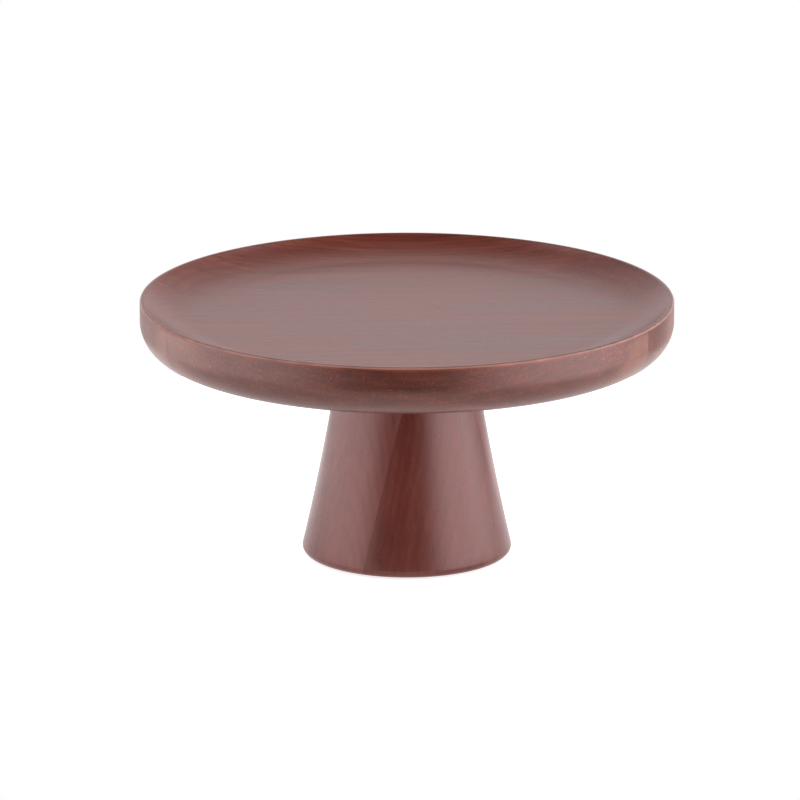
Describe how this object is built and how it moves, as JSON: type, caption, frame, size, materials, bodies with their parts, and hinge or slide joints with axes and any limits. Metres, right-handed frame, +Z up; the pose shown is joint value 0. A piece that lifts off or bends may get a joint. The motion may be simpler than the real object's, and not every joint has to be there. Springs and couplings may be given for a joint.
{
  "type": "cake stand",
  "caption": "Round wooden cake stand: a shallow turned dish with a raised rim on a tapered pedestal, which screws apart by hand.",
  "frame": {"origin": "on the stand's axis, at the level of the surface the foot pads rest on", "axes": "+Z up along the axis, +X along the grain of the plate, -Y towards the front"},
  "size_m": [0.3, 0.3, 0.148],
  "materials": {
    "plate_wood": "reddish-brown stain under a satin lacquer",
    "pedestal_wood": "reddish-brown stain under a semi-gloss lacquer",
    "insert_brass": "plain turned brass",
    "stud_steel": "bright zinc plate",
    "ring_rubber": "matt black rubber",
    "pad_rubber": "matt black rubber"
  },
  "bodies": {
    "pedestal": {"pedestal_block_1": "pedestal_wood", "pedestal_block_2": "pedestal_wood", "pedestal_block_3": "pedestal_wood", "pedestal_block_4": "pedestal_wood", "pedestal_insert": "insert_brass", "stud": "stud_steel", "foot_pad_1": "pad_rubber", "foot_pad_2": "pad_rubber", "foot_pad_3": "pad_rubber", "foot_pad_4": "pad_rubber"},
    "ring": {"joint_ring": "ring_rubber"},
    "plate": {"plate_board_1": "plate_wood", "plate_board_2": "plate_wood", "plate_board_3": "plate_wood", "plate_board_4": "plate_wood", "plate_board_5": "plate_wood", "plate_insert": "insert_brass"}
  },
  "joints": [
    {"name": "plate_turn", "type": "hinge", "parent": "pedestal", "child": "ring", "pos_m": [0, 0, 0.1187], "axis": [0, 0, 1], "range_deg": [0, 3456]},
    {"name": "plate_lift", "type": "slide", "parent": "ring", "child": "plate", "axis": [0, 0, 1], "range_m": [0, 0.01201]}
  ],
  "couplings": [
    {"joint": "plate_lift", "follows": "plate_turn", "m_per_rad": 0.00019894}
  ]
}
